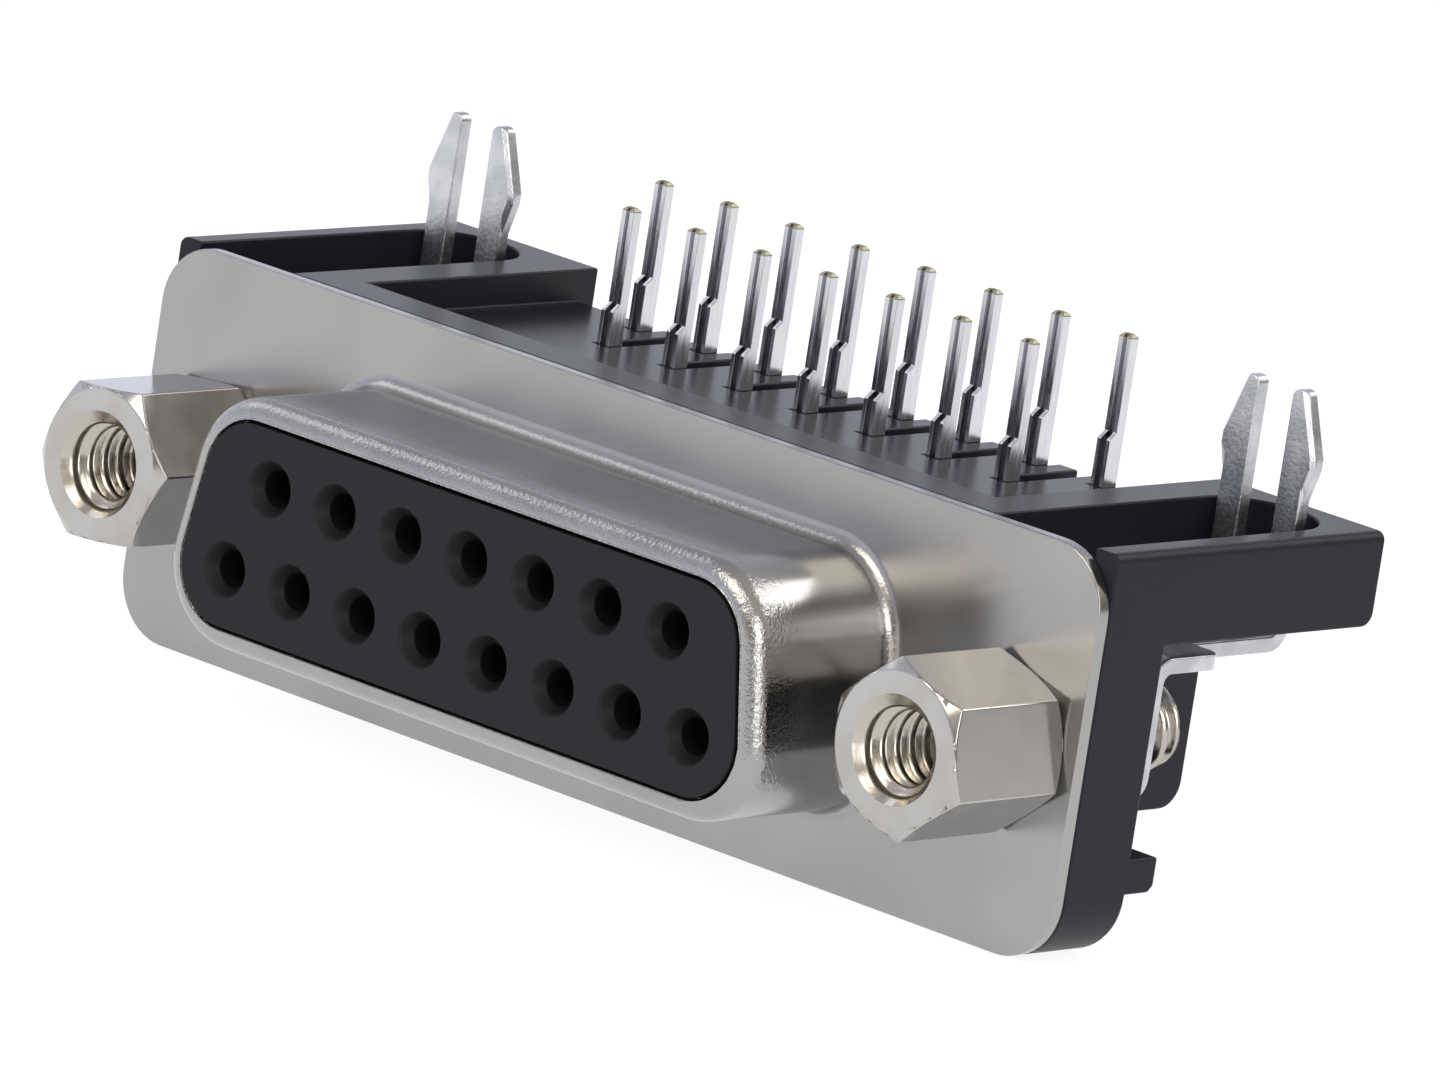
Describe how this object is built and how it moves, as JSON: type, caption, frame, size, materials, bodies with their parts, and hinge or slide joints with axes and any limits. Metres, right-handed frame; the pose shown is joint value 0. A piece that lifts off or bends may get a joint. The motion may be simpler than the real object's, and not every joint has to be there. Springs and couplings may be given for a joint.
{
  "type": "right-angle d-sub socket connector",
  "caption": "Right-angle D-shaped socket connector with plated shell, black slotted bracket, bent solder tails, forked board locks and hexagonal jack screws.",
  "frame": {"origin": "on the board plane, midway between the two locks and midway between the two rows of tails", "axes": "+X along the connector, to the right as the mating face is looked at; +Y away from the mating face, towards the rear; +Z out of the board face, the way the solder tails point"},
  "size_m": [0.0392, 0.0184, 0.0166],
  "materials": {
    "plated_shell": "satin nickel plate on drawn steel",
    "black_insulator": "smooth moulded thermoplastic",
    "black_bracket": "semi-gloss glass-filled thermoplastic",
    "tinned_contact": "bright tin plate on formed copper alloy",
    "tinned_lock": "satin tin plate",
    "plated_screw": "bright nickel plate on turned steel"
  },
  "bodies": {
    "root": {"board_lock_left": "tinned_lock", "board_lock_right": "tinned_lock", "bracket_housing": "black_bracket", "contact_01": "tinned_contact", "contact_02": "tinned_contact", "contact_03": "tinned_contact", "contact_04": "tinned_contact", "contact_05": "tinned_contact", "contact_06": "tinned_contact", "contact_07": "tinned_contact", "contact_08": "tinned_contact", "contact_09": "tinned_contact", "contact_10": "tinned_contact", "contact_11": "tinned_contact", "contact_12": "tinned_contact", "contact_13": "tinned_contact", "contact_14": "tinned_contact", "contact_15": "tinned_contact", "contact_block": "black_insulator", "front_shell": "plated_shell", "jack_screw_left": "plated_screw", "jack_screw_right": "plated_screw"}
  },
  "joints": []
}
